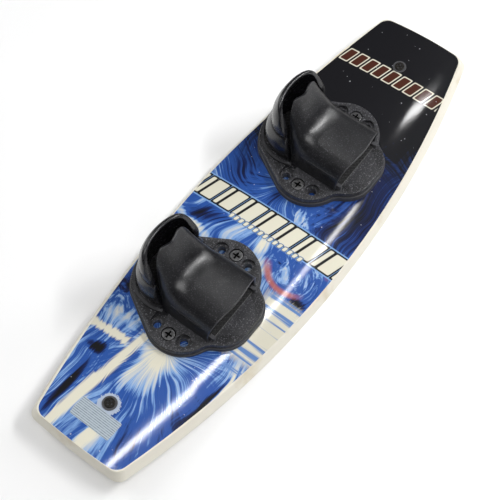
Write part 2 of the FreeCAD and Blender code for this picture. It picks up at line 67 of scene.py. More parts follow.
# The boots in millimetres, about the binding's centre on the deck's middle line. Each row of the
# instep: y of its feet, y and height of its crown, squareness, dip, narrowing and sweep.
PLATE_TOP = 29.0
FOOT_HALF = 92.0
INSTEP = (
    (-86.0, -106.0, 114.0, 3.7, 0.0, 0.0, 2.0),
    (-58.0, -72.0, 117.0, 3.6, 0.0, 0.0, 2.0),
    (-25.0, -32.0, 120.0, 3.5, 0.0, 0.0, 2.0),
    (8.0, 8.0, 125.0, 3.4, 0.0, 2.0, 1.8),
    (26.0, 35.0, 139.0, 3.3, 1.0, 8.0, 1.4),
    (36.0, 54.0, 168.0, 3.5, 6.0, 18.0, 1.0),
    (43.0, 68.0, 203.0, 3.6, 15.0, 27.0, 0.7),
    (47.0, 75.0, 237.0, 3.7, 33.0, 34.0, 0.5),
)
COLLAR_WRAP = 110.0
COLLAR_BEAD, HEM_BEAD = 1.1, 0.7
WELT_HEIGHT, WELT_FROM, WELT_REACH = 80.0, 0.06, 0.47
CUP_TOP, CUP_DROP, CUP_DROP_POWER = 213.0, 66.0, 5
CUP_SPLIT, SPLIT_SHARE, GROOVE_HALF = 112.0, 0.45, 2.2
CUP_HALF_BASE, CUP_HALF_TOP = 90.0, 80.0
CUP_BACK_BASE, CUP_BACK_TOP = 84.0, 40.0
CUP_FRONT_BASE, CUP_FRONT_TOP = 52.0, 90.0
CUP_CENTRE_Y = 85.0
CUP_BULGE, RAND_BULGE = 6.0, 8.0

# The footbeds and the camera, in metres and degrees.
HEEL_ROUND, TOE_ROUND = 0.0645, 0.0215
FOAM_EDGE, FOAM_FALL = 0.003, 0.0012
CAMERA_AT = (-1.0292, -0.7608, 2.2219)
CAMERA_BACK = (-0.37825, -0.30112, 0.87536)
CAMERA_ROLL = -1.680


def linear(code):
    """Linear colour of an sRGB hex code."""
    parts = [int(code[i:i + 2], 16) / 255 for i in (1, 3, 5)]
    parts = [p / 12.92 if p <= 0.04045 else ((p + 0.055) / 1.055) ** 2.4 for p in parts]
    return (*parts, 1.0)


# ---------------------------------------------------------------- settings
class WakeboardDeck(bpy.types.PropertyGroup):
    night: FloatVectorProperty(
        name="Tip black", description="Ink of the dark tip", subtype="COLOR", size=4,
        min=0, max=1, default=linear("#121216"))
    navy: FloatVectorProperty(
        name="Navy", description="Darkest of the brushed blues", subtype="COLOR", size=4,
        min=0, max=1, default=linear("#142252"))
    royal: FloatVectorProperty(
        name="Royal blue", description="Main brushed blue", subtype="COLOR", size=4,
        min=0, max=1, default=linear("#29509a"))
    sky: FloatVectorProperty(
        name="Sky blue", description="Light strokes between the blues", subtype="COLOR", size=4,
        min=0, max=1, default=linear("#7aa0d2"))
    cream: FloatVectorProperty(
        name="Cream", description="Beams, bars and blocks of the print", subtype="COLOR", size=4,
        min=0, max=1, default=linear("#d9d5c3"))
    clay: FloatVectorProperty(
        name="Clay", description="The print's only warm strokes", subtype="COLOR", size=4,
        min=0, max=1, default=linear("#b9654c"))
    rail: FloatVectorProperty(
        name="Rail", description="Moulded edge rail and base", subtype="COLOR", size=4,
        min=0, max=1, default=linear("#dbd7ca"))


class WakeboardBoots(bpy.types.PropertyGroup):
    cover_wall: FloatProperty(
        name="Cover wall", description="Thickness of the instep cover", subtype="DISTANCE",
        unit="LENGTH", min=0.003, max=0.012, default=0.006)
    cup_wall: FloatProperty(
        name="Heel wall", description="Thickness of the heel piece", subtype="DISTANCE",
        unit="LENGTH", min=0.006, max=0.018, default=0.012)
    groove: FloatProperty(
        name="Groove", description="Depth of the bending groove round the heel piece",
        subtype="DISTANCE", unit="LENGTH", min=0.0, max=0.005, default=0.0025)
    rubber: FloatVectorProperty(
        name="Rubber", description="Moulded rubber of the boots", subtype="COLOR", size=4,
        min=0, max=1, default=linear("#131316"))
    plastic: FloatVectorProperty(
        name="Plate plastic", description="Grained moulding of the base plates", subtype="COLOR",
        size=4, min=0, max=1, default=linear("#19191c"))


class WakeboardStage(bpy.types.PropertyGroup):
    floor: FloatVectorProperty(
        name="Floor", description="Pale studio floor", subtype="COLOR", size=4,
        min=0, max=1, default=linear("#f4f4f4"))
    lens: FloatProperty(
        name="Lens", description="Focal length on a 36 mm sensor", min=20, max=200, default=73.14)
    strip: FloatProperty(
        name="Strip light", description="Power of the long strip over the toe side", unit="POWER",
        min=0, max=400, default=2.4)
    sky_light: FloatProperty(
        name="Soft light", description="Power of each large soft light", unit="POWER",
        min=0, max=1000, default=78)


# ---------------------------------------------------------------- materials
def add(tree, kind, links=(), **settings):
    """Adds a node. links gives its inputs a value, a socket, or a node for its first output."""
    node = tree.nodes.new("ShaderNode" + kind)
    for key, value in settings.items():
        setattr(node, key, value)
    for key, value in links.items() if isinstance(links, dict) else enumerate(links):
        if isinstance(value, bpy.types.Node):
            value = value.outputs[0]
        if isinstance(value, bpy.types.NodeSocket):
            tree.links.new(value, node.inputs[key])
        else:
            node.inputs[key].default_value = value
    return node


def start_finish(name, **shader_values):
    """A new material with its shader's plain values set, and its object-space place."""
    finish = bpy.data.materials.new(name)
    finish.use_nodes = True
    tree = finish.node_tree
    shader = tree.nodes["Principled BSDF"]
    for key, value in shader_values.items():
        shader.inputs[key.replace("_", " ")].default_value = value
    place = add(tree, "TexCoord").outputs["Object"]
    return finish, tree, shader, place


def set_stops(ramp, stops):
    """Colour stops of a ramp, as pairs of place and colour."""
    while len(ramp.elements) > 1:
        ramp.elements.remove(ramp.elements[0])
    ramp.elements[0].position, ramp.elements[0].color = stops[0]
    for position, colour in stops[1:]:
        ramp.elements.new(position).color = colour


def relief(tree, shader, place, layers):
    """Bump of several noises: each a size in millimetres, a height in millimetres and a detail."""
    normal = None
    for size, height, detail in layers:
        noise = add(tree, "TexNoise", {"Vector": place, "Scale": 1 / (size * MM), "Detail": detail})
        links = {"Height": noise.outputs["Fac"], "Distance": height * MM, "Strength": 1.0}
        if normal:
            links["Normal"] = normal
        normal = add(tree, "Bump", links).outputs["Normal"]
    tree.links.new(normal, shader.inputs["Normal"])
    return normal


# Print features on the deck, in metres: centre, half sizes, turn in degrees, gain.
LIGHT_AND_DARK = (
    ((-0.470, -0.015), (0.085, 0.055), 8, 0.30),
    ((-0.500, 0.020), (0.100, 0.020), 12, 0.16),
    ((-0.690, -0.012), (0.060, 0.030), 0, 0.42),
    ((-0.430, 0.005), (0.050, 0.090), 0, 0.20),
    ((-0.420, 0.145), (0.045, 0.050), 30, 0.14),
    ((-0.345, 0.140), (0.050, 0.080), -20, -0.30),
    ((-0.505, 0.128), (0.022, 0.034), 0, -0.55),
    ((-0.620, 0.116), (0.110, 0.016), 8, -0.42),
    ((-0.600, 0.140), (0.060, 0.022), 14, 0.05),
    ((-0.640, -0.080), (0.090, 0.030), 0, -0.12),
    ((-0.540, -0.140), (0.130, 0.030), -6, -0.10),
    ((-0.470, -0.160), (0.090, 0.010), -8, -0.45),
    ((-0.440, -0.172), (0.080, 0.007), -8, 0.40),
    ((-0.380, -0.165), (0.060, 0.050), 0, 0.16),
    ((-0.060, 0.150), (0.030, 0.080), 10, -0.28),
    ((-0.100, 0.160), (0.022, 0.090), -6, 0.30),
    ((-0.060, 0.040), (0.060, 0.050), 0, 0.12),
    ((-0.060, -0.025), (0.060, 0.030), 0, 0.38),
    ((-0.130, -0.060), (0.050, 0.030), 0, 0.22),
    ((-0.140, -0.180), (0.020, 0.030), 0, -0.40),
    ((-0.020, -0.160), (0.060, 0.030), 20, 0.22),
    ((0.080, -0.080), (0.060, 0.050), 0, 0.14),
    ((0.070, 0.030), (0.060, 0.030), 0, -0.16),
    ((0.120, 0.150), (0.120, 0.070), 20, -0.16),
    ((0.170, -0.165), (0.240, 0.090), 0, -0.34),
    ((0.120, -0.060), (0.110, 0.050), 0, -0.10),
)
BEAMS = (
    ((-0.570, 0.064), (0.160, 0.013), -6),
    ((-0.640, 0.078), (0.080, 0.009), -4),
    ((-0.456, 0.125), (0.012, 0.055), 4),
    ((-0.720, -0.012), (0.050, 0.014), 0),
)
BLOCK_ROWS = (
    # x of the row, half height of its blocks, pitch, offsets and half widths in the pitch,
    # outline, y range, fill
    (0.007, 0.031, 0.0610, ((-0.010, 0.0165), (0.0195, 0.0055)), 0.0045, (-0.222, 0.222), "pale"),
    (-0.030, 0.0065, 0.0150, ((0.0, 0.0045),), 0.0012, (-0.127, 0.094), "pale"),
    (0.557, 0.0200, 0.0340, ((0.0, 0.0110),), 0.0030, (-0.150, 0.152), "warm"),
)
# Points from which two of the five fields of strokes fan out.
FANS = ((-0.400, 0.000), (0.120, 0.010))
# Which field of strokes shows in an ellipse: its number, centre and half sizes.
STROKE_FIELDS = (
    (1, (0.140, 0.170), (0.30, 0.20)),
    (3, (-0.520, -0.020), (0.34, 0.15)),
    (4, (0.070, 0.000), (0.20, 0.14)),
    (2, (0.060, -0.085), (0.09, 0.06)),
    (4, (-0.070, 0.120), (0.14, 0.18)),
    (2, (-0.360, 0.150), (0.09, 0.08)),
    (2, (-0.060, -0.130), (0.10, 0.08)),
)
# Centre, radius and width of each warm arc, and the middle of the stretch that is painted.
WARM_STROKES = (
    ((-0.070, -0.128), 0.064, 0.013, (-0.16, -0.10)),
    ((-0.060, -0.150), 0.050, 0.010, (0.03, -0.19)),
)


def patch(tree, place, centre, half, turn=0.0):
    """1 in the middle of a turned ellipse, falling to 0 at its edge."""
    laid = add(tree, "Mapping", {
        "Vector": place, "Location": (*centre, 0.0), "Rotation": (0, 0, math.radians(turn)),
        "Scale": (*half, 1.0)}, vector_type="TEXTURE")
    flat = add(tree, "VectorMath", (laid, (1, 1, 0)), operation="MULTIPLY")
    return add(tree, "TexGradient", {"Vector": flat}, gradient_type="SPHERICAL").outputs["Fac"]


def distance_from(tree, place, centre):
    """Distance in the deck's plan from a point."""
    moved = add(tree, "VectorMath", (place, (*centre, 0.0)), operation="SUBTRACT")
    flat = add(tree, "VectorMath", (moved, (1, 1, 0)), operation="MULTIPLY")
    return add(tree, "VectorMath", (flat,), operation="LENGTH").outputs["Value"]


def outside(tree, value, middle, half):
    """How far a value lies outside a stretch about its middle; negative inside."""
    away = add(tree, "Math", (value, middle), operation="SUBTRACT")
    size = add(tree, "Math", (away,), operation="ABSOLUTE")
    return add(tree, "Math", (size, half), operation="SUBTRACT")


def brush_strokes(tree, swayed):
    """Five fields of stretched noise: along, diagonal, marbled, and two that fan from a point."""
    strokes = []
    for turn, length, width, distortion in (
            (0, 0.26, 0.0085, 0.2), (62, 0.24, 0.0085, 0.3), (15, 0.06, 0.026, 2.2)):
        laid = add(tree, "Mapping", {
            "Vector": swayed, "Rotation": (0, 0, math.radians(turn)), "Scale": (length, width, 1.0)},
            vector_type="TEXTURE")
        strokes.append(add(tree, "TexNoise", {
            "Vector": laid, "Scale": 1.0, "Detail": 6.0, "Roughness": 0.66,
            "Distortion": distortion}).outputs["Fac"])
    for centre in FANS:
        moved = add(tree, "Mapping", {"Vector": swayed, "Location": (*centre, 0.0)},
                    vector_type="TEXTURE")
        around = add(tree, "TexGradient", {"Vector": moved}, gradient_type="RADIAL").outputs["Fac"]
        out = add(tree, "VectorMath", (moved,), operation="LENGTH").outputs["Value"]
        ray = add(tree, "CombineXYZ", {
            "X": add(tree, "Math", (out, 5.0), operation="MULTIPLY"),
            "Y": add(tree, "Math", (around, 95.0), operation="MULTIPLY")})
        strokes.append(add(tree, "TexNoise", {
            "Vector": ray, "Scale": 1.0, "Detail": 5.0, "Roughness": 0.62,
            "Distortion": 0.5}).outputs["Fac"])
    return strokes


def brushed_blues(tree, swayed, strokes, look):
    """Blue paint: each part of the deck takes one field of strokes, lightened or darkened."""
    field = strokes[0]
    for which, centre, half in STROKE_FIELDS:
        near = patch(tree, swayed, centre, half)
        share = add(tree, "Math", (near, 2.2), operation="MULTIPLY", use_clamp=True)
        field = add(tree, "Mix", {0: share, 2: field, 3: strokes[which]})
    field = add(tree, "Math", (field, 0.82, 0.085), operation="MULTIPLY_ADD")
    for centre, half, turn, gain in LIGHT_AND_DARK:
        near = patch(tree, swayed, centre, half, turn)
        field = add(tree, "Math", (near, gain, field), operation="MULTIPLY_ADD")
    ramp = add(tree, "ValToRGB", {"Fac": field})
    pale = tuple(0.5 * (a + b) for a, b in zip(look.sky, look.cream))
    set_stops(ramp.color_ramp, (
        (0.20, look.night), (0.33, look.navy), (0.42, look.royal), (0.50, look.royal),
        (0.57, look.sky), (0.65, pale), (0.76, look.cream)))
    return ramp.outputs["Color"]


def beam_layers(tree, place, swayed, look):
    """Cream beams with blue showing through their bristle marks; upright ones are stepped."""
    bristles = []
    for scale, detail in (((0.25, 0.006, 1.0), 3.0), ((0.08, 0.008, 1.0), 2.0)):
        laid = add(tree, "Mapping", {"Vector": swayed, "Scale": scale}, vector_type="TEXTURE")
        noise = add(tree, "TexNoise", {"Vector": laid, "Scale": 1.0, "Detail": detail})
        bristles.append(noise.outputs["Fac"])
    for centre, half, turn in BEAMS:
        laid = add(tree, "Mapping", {
            "Vector": place, "Location": (*centre, 0.0), "Rotation": (0, 0, math.radians(turn))},
            vector_type="TEXTURE")
        sides = add(tree, "SeparateXYZ", (laid,))
        gap = add(tree, "Math", (outside(tree, sides.outputs["X"], 0.0, half[0]),
                                 outside(tree, sides.outputs["Y"], 0.0, half[1])), operation="MAXIMUM")
        bristle = bristles[half[1] > half[0]]
        rough = add(tree, "Math", (bristle, 0.026, gap), operation="MULTIPLY_ADD")
        yield add(tree, "MapRange", {"Value": rough, "From Min": 0.016, "From Max": 0.007},
                  interpolation_type="SMOOTHSTEP"), look.cream


def barred_layers(tree, place, x, y, along, look):
    """Cream field at the toe side of the rear plate, with blue bars across it."""
    past = add(tree, "Math", (outside(tree, x, -0.240, 0.088),
                              add(tree, "Math", (y, 0.118), operation="ADD")), operation="MAXIMUM")
    feathered = add(tree, "Math", (along, 0.05, past), operation="MULTIPLY_ADD")
    yield add(tree, "MapRange", {"Value": feathered, "From Min": 0.040, "From Max": 0.018}), look.cream
    bars = add(tree, "Mapping", {"Vector": place, "Scale": (0.016, 0.6, 1.0)}, vector_type="TEXTURE")
    comb = add(tree, "TexNoise", {"Vector": bars, "Scale": 1.0, "Detail": 2.5, "Roughness": 0.6})
    barred = add(tree, "MapRange", {
        "Value": comb.outputs["Fac"], "From Min": 0.52, "From Max": 0.60})
    past = add(tree, "Math", (outside(tree, x, -0.270, 0.130),
                              add(tree, "Math", (y, 0.128), operation="ADD")), operation="MAXIMUM")
    near = add(tree, "MapRange", {"Value": past, "From Min": 0.02, "From Max": 0.0})
    colour = tuple(0.55 * a + 0.45 * b for a, b in zip(look.sky, look.royal))
    yield add(tree, "Math", (barred, near), operation="MULTIPLY"), colour


def warm_layers(tree, swayed, look):
    """Two loose warm strokes, each a stretch of an arc."""
    for centre, radius, width, reach in WARM_STROKES:
        out = distance_from(tree, swayed, centre)
        ring = outside(tree, out, radius, 0.0)
        line = add(tree, "MapRange", {"Value": ring, "From Min": width, "From Max": width * 0.3})
        near = patch(tree, swayed, reach, (0.09, 0.09))
        part = add(tree, "Math", (near, 2.6), operation="MULTIPLY", use_clamp=True)
        both = add(tree, "Math", (line, part), operation="MULTIPLY")
        yield add(tree, "Math", (both, 0.8), operation="MULTIPLY"), look.clay


def tip_layer(tree, x, y, along, diagonal, look):
    """Dark tip, fading into the blues in strokes along the board."""
    slanted = add(tree, "Math", (y, 0.31, x), operation="MULTIPLY_ADD")
    edge = add(tree, "Math", (slanted, 0.262), operation="SUBTRACT")
    half = add(tree, "Math", (diagonal, 0.5), operation="MULTIPLY")
    mixed = add(tree, "Math", (along, 0.5, half), operation="MULTIPLY_ADD")
    level = add(tree, "Math", (mixed, 0.5), operation="SUBTRACT")
    ragged = add(tree, "Math", (level, 0.62, edge), operation="MULTIPLY_ADD")
    return add(tree, "MapRange", {"Value": ragged, "From Min": -0.085, "From Max": 0.055},
               interpolation_type="SMOOTHSTEP"), look.night


def block_layers(tree, x, y, look):
    """Rows of plain leaning blocks, outlined in black with a pale edge outside."""
    for row_x, half, pitch, parts, line, (low, high), fill in BLOCK_ROWS:
        away = add(tree, "Math", (x, row_x), operation="SUBTRACT")
        lean = add(tree, "Math", (away, 0.30, y), operation="MULTIPLY_ADD")
        shifted = add(tree, "Math", (lean, 3.5 * pitch), operation="ADD")
        cell = add(tree, "Math", (shifted, pitch, 0.0), operation="WRAP")
        tall = outside(tree, x, row_x, half)
        shape = None
        for offset, width in parts:
            wide = outside(tree, cell, pitch / 2 + offset, width)
            block = add(tree, "Math", (wide, tall, 0.006), operation="SMOOTH_MAX")
            shape = add(tree, "Math", (shape, block), operation="MINIMUM") if shape else block
        span = outside(tree, y, (low + high) / 2, (high - low) / 2)
        shape = add(tree, "Math", (shape, span), operation="MAXIMUM")
        edges = ((line * 1.75, look.sky), (line, look.night), (0.0, look.cream))
        if fill == "warm":
            edges = ((line, look.cream), (0.0, tuple(0.12 * a for a in look.clay)))
        for reach, colour in edges:
            yield add(tree, "MapRange", {
                "Value": shape, "From Min": reach + 0.0008, "From Max": reach - 0.0008}), colour


def wear_layers(tree, place):
    """Pale chipped ring round the tail's fin screw, and dust over the whole deck."""
    out = distance_from(tree, place, (-0.600, 0.0))
    chips = add(tree, "TexNoise", {"Vector": place, "Scale": 260.0, "Detail": 3.0})
    ring = add(tree, "Math", (chips.outputs["Fac"], 0.014, out), operation="MULTIPLY_ADD")
    yield add(tree, "MapRange", {
        "Value": ring, "From Min": 0.0350, "From Max": 0.0335}), linear("#a9b4c6")
    dust = add(tree, "TexVoronoi", {"Vector": place, "Scale": 105.0, "Randomness": 1.0})
    draw = add(tree, "SeparateColor", (dust.outputs["Color"],)).outputs["Red"]
    seldom = add(tree, "Math", (draw, 0.87), operation="SUBTRACT", use_clamp=True)
    size = add(tree, "Math", (seldom, 1.5), operation="MULTIPLY")
    mask = add(tree, "Math", (dust.outputs["Distance"], size), operation="LESS_THAN")
    yield add(tree, "Math", (mask, 0.6), operation="MULTIPLY"), linear("#c9ccd2")


def deck_print(look):
    """Printed film under clear polyester gloss: brushed blues, a dark tip and plain blocks."""
    # A printed film sealed under clear resin: deep even gloss over ink, with the resin's faint waves.
    finish, tree, shader, place = start_finish(
        "printed_film_under_polyester_gloss", Roughness=0.30, IOR=1.53, Specular_IOR_Level=0.15,
        Coat_Weight=1.0, Coat_Roughness=0.05, Coat_IOR=1.5)
    sway = add(tree, "TexNoise", {"Vector": place, "Scale": 7.0, "Detail": 1.0}).outputs["Color"]
    level = add(tree, "VectorMath", (sway, (0.5, 0.5, 0.5)), operation="SUBTRACT")
    swayed = add(tree, "VectorMath", (level, (0.10, 0.10, 0.0), place), operation="MULTIPLY_ADD")
    spot = add(tree, "SeparateXYZ", (place,))
    x, y = spot.outputs["X"], spot.outputs["Y"]
    strokes = brush_strokes(tree, swayed)
    along, diagonal = strokes[:2]

    paint = brushed_blues(tree, swayed, strokes, look)
    layers = [
        *beam_layers(tree, place, swayed, look), *barred_layers(tree, place, x, y, along, look),
        *warm_layers(tree, swayed, look), tip_layer(tree, x, y, along, diagonal, look),
        *block_layers(tree, x, y, look), *wear_layers(tree, place)]
    for mask, colour in layers:
        paint = add(tree, "Mix", {0: mask, 6: paint, 7: colour}, data_type="RGBA").outputs[2]
    tree.links.new(paint, shader.inputs["Base Color"])
    # The resin's waves are about 4 mm apart; drawn that coarse so that they show in the gloss.
    waves = relief(tree, shader, place, ((26.0, 0.010, 1.0), (4.2, 0.014, 2.0)))
    tree.links.new(waves, shader.inputs["Coat Normal"])
    return finish


def rail_urethane(look):
    """Moulded urethane rail, satin, with the stains and rubs of use."""
    # Cast urethane: soft satin, slightly yellowed in patches, with fine rub marks along it.
    finish, tree, shader, place = start_finish(
        "cast_urethane_rail", Roughness=0.42, IOR=1.5, Coat_Weight=0.15, Coat_Roughness=0.25)
    stain = add(tree, "TexNoise", {"Vector": place, "Scale": 9.0, "Detail": 4.0, "Roughness": 0.6})
    ramp = add(tree, "ValToRGB", {"Fac": stain.outputs["Fac"]})
    tan = tuple(a * b for a, b in zip(look.rail, (0.86, 0.80, 0.70, 1.0)))
    set_stops(ramp.color_ramp, ((0.30, tan), (0.45, look.rail), (0.70, look.rail)))
    rubbed = add(tree, "Mapping", {"Vector": place, "Scale": (0.05, 0.002, 0.002)},
                 vector_type="TEXTURE")
    marks = add(tree, "TexNoise", {"Vector": rubbed, "Scale": 1.0, "Detail": 4.0})
    dull = add(tree, "MapRange", {
        "Value": marks.outputs["Fac"], "From Min": 0.3, "From Max": 0.7, "To Min": 0.34, "To Max": 0.55})
    tree.links.new(ramp.outputs["Color"], shader.inputs["Base Color"])
    tree.links.new(dull.outputs[0], shader.inputs["Roughness"])
    relief(tree, shader, place, ((5.0, 0.03, 3.0),))
    return finish


def glass_laminate(look):
    """Gloss base laminate with faint scratches along the running direction."""
    # Painted glass laminate: hard gloss, hairline scratches along the board from sliding.
    finish, tree, shader, place = start_finish(
        "painted_glass_laminate", Roughness=0.22, IOR=1.52, Coat_Weight=0.6, Coat_Roughness=0.08)
    tint = add(tree, "TexNoise", {"Vector": place, "Scale": 4.0, "Detail": 3.0})
    ramp = add(tree, "ValToRGB", {"Fac": tint.outputs["Fac"]})
    set_stops(ramp.color_ramp, ((0.3, tuple(0.92 * a for a in look.rail)), (0.7, look.rail)))
    sliding = add(tree, "Mapping", {"Vector": place, "Scale": (0.35, 0.0012, 1.0)},
                  vector_type="TEXTURE")
    hair = add(tree, "TexNoise", {"Vector": sliding, "Scale": 1.0, "Detail": 6.0, "Roughness": 0.7})
    dull = add(tree, "MapRange", {
        "Value": hair.outputs["Fac"], "From Min": 0.55, "From Max": 0.72, "To Min": 0.2, "To Max": 0.5})
    tree.links.new(ramp.outputs["Color"], shader.inputs["Base Color"])
    tree.links.new(dull.outputs[0], shader.inputs["Roughness"])
    relief(tree, shader, place, ((30.0, 0.02, 1.0),))
    return finish


def grained_rubber(name, colour, rough, grain, height, painted_glint_amount=0.0):
    """Black moulded rubber or plastic with a leathery mould grain and pale edges, partly wear and partly
    a painted highlight.
    """
    # Moulded black rubber: satin, mould grain about a millimetre across.
    finish, tree, shader, place = start_finish(name, Roughness=rough, IOR=1.52)
    mottle = add(tree, "TexNoise", {
        "Vector": place, "Scale": 28.0, "Detail": 5.0, "Roughness": 0.65}).outputs["Fac"]
    ramp = add(tree, "ValToRGB", {"Fac": mottle})
    set_stops(ramp.color_ramp, (
        (0.30, tuple(0.72 * a for a in colour)), (0.55, colour), (0.80, tuple(1.5 * a for a in colour))))
    # Convex edges are lightened: partly wear, partly a painted highlight where the rim light runs along
    # them.
    edge = add(tree, "NewGeometry").outputs["Pointiness"]
    worn = add(tree, "MapRange", {"Value": edge, "From Min": 0.52, "From Max": 0.60, "To Max": 0.5})
    # Pale flecks: painted glints standing in for the sparkle of the mould grain in the highlights.
    salt = add(tree, "TexNoise", {"Vector": place, "Scale": 380.0, "Detail": 1.0}).outputs["Fac"]
    painted_glints = add(tree, "MapRange", {"Value": salt, "From Min": 0.58, "From Max": 0.72, "To Max": painted_glint_amount})
    paint = ramp.outputs["Color"]
    for mask, pale in ((worn, linear("#5a5a5e")), (painted_glints, linear("#8c8c92"))):
        paint = add(tree, "Mix", {0: mask, 6: paint, 7: pale}, data_type="RGBA").outputs[2]
    uneven = add(tree, "MapRange", {
        "Value": mottle, "From Min": 0.3, "From Max": 0.7, "To Min": rough * 0.88,
        "To Max": rough * 1.15})
    tree.links.new(paint, shader.inputs["Base Color"])
    tree.links.new(uneven.outputs[0], shader.inputs["Roughness"])
    # The grain is near 1 mm; it is drawn at the size given so that it shows.
    relief(tree, shader, place, ((grain, height, 2.0), (grain * 9, height * 2.5, 2.0)))
    return finish


def footbed_foam(colour):
    """EVA foam pad cut with a diamond grid of grooves."""
    # Die-cut EVA foam: matte, closed cells, grooves 9 mm apart that cross in diamonds.
    finish, tree, shader, place = start_finish(
        "grooved_eva_foam", Roughness=0.85, IOR=1.48, Sheen_Weight=0.2)
    cuts = []
    for turn in (45, -45):
        laid = add(tree, "Mapping", {"Vector": place, "Rotation": (0, 0, math.radians(turn))})
        wave = add(tree, "TexWave", {"Vector": laid, "Scale": 1 / (9 * MM * 3.2)}, wave_profile="SIN")
        cuts.append(add(tree, "MapRange", {
            "Value": wave.outputs["Fac"], "From Min": 0.0, "From Max": 0.25}))
    height = add(tree, "Math", cuts, operation="MINIMUM")
    cells = add(tree, "TexNoise", {"Vector": place, "Scale": 900.0, "Detail": 2.0}).outputs["Fac"]
    both = add(tree, "Math", (cells, 0.25, height), operation="MULTIPLY_ADD")
    bump = add(tree, "Bump", {"Height": both, "Distance": 0.8 * MM, "Strength": 1.0})
    # The grooves are painted darker: painted shade in the grooves.
    shade = add(tree, "MapRange", {"Value": height, "To Min": 0.5, "To Max": 1.0})
    paint = add(tree, "Mix", {0: shade, 6: (0.004, 0.004, 0.004, 1), 7: colour}, data_type="RGBA")
    tree.links.new(paint.outputs[2], shader.inputs["Base Color"])
    tree.links.new(bump.outputs["Normal"], shader.inputs["Normal"])
    return finish


def plated_steel(name, colour, rough, recess=-1.0):
    """Screw steel with a dark plating and dull wear; below the height of a recess it is painted near
    black as shade.
    """
    # Zinc-plated steel: a true metal, dulled by salt, with fine tool marks.
    finish, tree, shader, place = start_finish(name, Metallic=1.0, Roughness=rough)
    grime = add(tree, "TexNoise", {
        "Vector": place, "Scale": 120.0, "Detail": 3.0, "Roughness": 0.5}).outputs["Fac"]
    ramp = add(tree, "ValToRGB", {"Fac": grime})
    light = tuple(min(1.0, 1.25 * a) for a in colour)
    set_stops(ramp.color_ramp, (
        (0.32, tuple(0.6 * a for a in colour)), (0.52, colour), (0.75, light)))
    dull = add(tree, "MapRange", {
        "Value": grime, "From Min": 0.3, "From Max": 0.7, "To Min": rough + 0.15, "To Max": rough - 0.08})
    # Below the recess height the steel is painted near black: painted shade in the cross recess and on
    # the head's sides.
    spot = add(tree, "SeparateXYZ", (place,))
    painted_recess_shade = add(tree, "MapRange", {
        "Value": spot.outputs["Z"], "From Min": recess, "From Max": recess - 0.4 * MM})
    dark = add(tree, "Mix", {0: painted_recess_shade, 6: ramp.outputs["Color"], 7: (0.003, 0.003, 0.003, 1.0)},
               data_type="RGBA")
    tree.links.new(dark.outputs[2], shader.inputs["Base Color"])
    tree.links.new(dull.outputs[0], shader.inputs["Roughness"])
    relief(tree, shader, place, ((1.2, 0.03, 3.0),))
    return finish


def machined_brass():
    """Turned brass of the inserts, nuts and sleeves."""
    # Turned brass: warm yellow metal, soft tarnish, fine lathe marks.
    finish, tree, shader, place = start_finish("turned_brass", Metallic=1.0, Roughness=0.3)
    tarnish = add(tree, "TexNoise", {"Vector": place, "Scale": 150.0, "Detail": 4.0})
    ramp = add(tree, "ValToRGB", {"Fac": tarnish.outputs["Fac"]})
    set_stops(ramp.color_ramp, ((0.35, linear("#7a5a2c")), (0.6, linear("#c29a52"))))
    tree.links.new(ramp.outputs["Color"], shader.inputs["Base Color"])
    relief(tree, shader, place, ((0.8, 0.02, 2.0),))
    return finish


def sawn_foam():
    """Closed-cell core foam."""
    # Polyurethane core foam: tan, dry, cells under a millimetre; hidden inside the skins.
    finish, tree, shader, place = start_finish("sawn_polyurethane_foam", Roughness=0.95)
    cells = add(tree, "TexNoise", {"Vector": place, "Scale": 1200.0, "Detail": 2.0})
    ramp = add(tree, "ValToRGB", {"Fac": cells.outputs["Fac"]})
    set_stops(ramp.color_ramp, ((0.3, linear("#b49a62")), (0.7, linear("#dcc690"))))
    tree.links.new(ramp.outputs["Color"], shader.inputs["Base Color"])
    relief(tree, shader, place, ((0.8, 0.2, 2.0),))
    return finish


def label_vinyl():
    """Blank pale sticker with faint ruled lines."""
    # Printed vinyl film: pale, half-gloss, rules 5 mm apart, greyed by water.
    finish, tree, shader, place = start_finish("pale_vinyl_film", Roughness=0.38, IOR=1.5)
    spot = add(tree, "SeparateXYZ", (place,))
    row = add(tree, "Math", (spot.outputs["X"], 5.0 * MM), operation="MODULO")
    size = add(tree, "Math", (row,), operation="ABSOLUTE")
    rule = add(tree, "Math", (size, 2.1 * MM), operation="LESS_THAN")
    worn = add(tree, "TexNoise", {"Vector": place, "Scale": 140.0, "Detail": 4.0})
    shown = add(tree, "Math", (rule, worn.outputs["Fac"]), operation="MULTIPLY")
    paint = add(tree, "Mix", {0: shown, 6: linear("#aab6bf"), 7: linear("#3c4654")}, data_type="RGBA")
    tree.links.new(paint.outputs[2], shader.inputs["Base Color"])
    relief(tree, shader, place, ((12.0, 0.03, 2.0),))
    return finish


# ---------------------------------------------------------------- shapes
def between(values, share):
    """Value at a share of the way along a row, smoothly through its steps."""
    last = len(values) - 1
    place = min(max(share * last, 0.0), float(last))
    left = min(int(place), last - 1)
    t = place - left
    a = values[max(left - 1, 0)]
    b = values[left]
    c = values[left + 1]
    d = values[min(left + 2, last)]
    bend = (2 * a - 5 * b + 4 * c - d) * t * t + (3 * b - a - 3 * c + d) * t ** 3
    return b + 0.5 * ((c - a) * t + bend)


def instep_point(around, along):
    """Outer face of the instep cover: around from foot to foot, along from toe to collar."""
    foot, top, crown, square, dip, taper, sweep = (between(row, along) for row in zip(*INSTEP))
    across = -math.cos(math.pi * around)
    up = max(math.sin(math.pi * around), 0.0)
    reach = (abs(across) ** square + up ** square) ** (-1 / square)
    share = reach * up
    z = PLATE_TOP + (crown - PLATE_TOP) * share - dip * up ** 3
    half = FOOT_HALF - taper * share ** 0.5
    wrap = COLLAR_WRAP * up ** 3 * (1 - up) * max(0.0, (along - 0.6) / 0.4) ** 1.5
    return Vector((half * reach * across, foot + (top - foot) * up ** sweep + wrap, z))


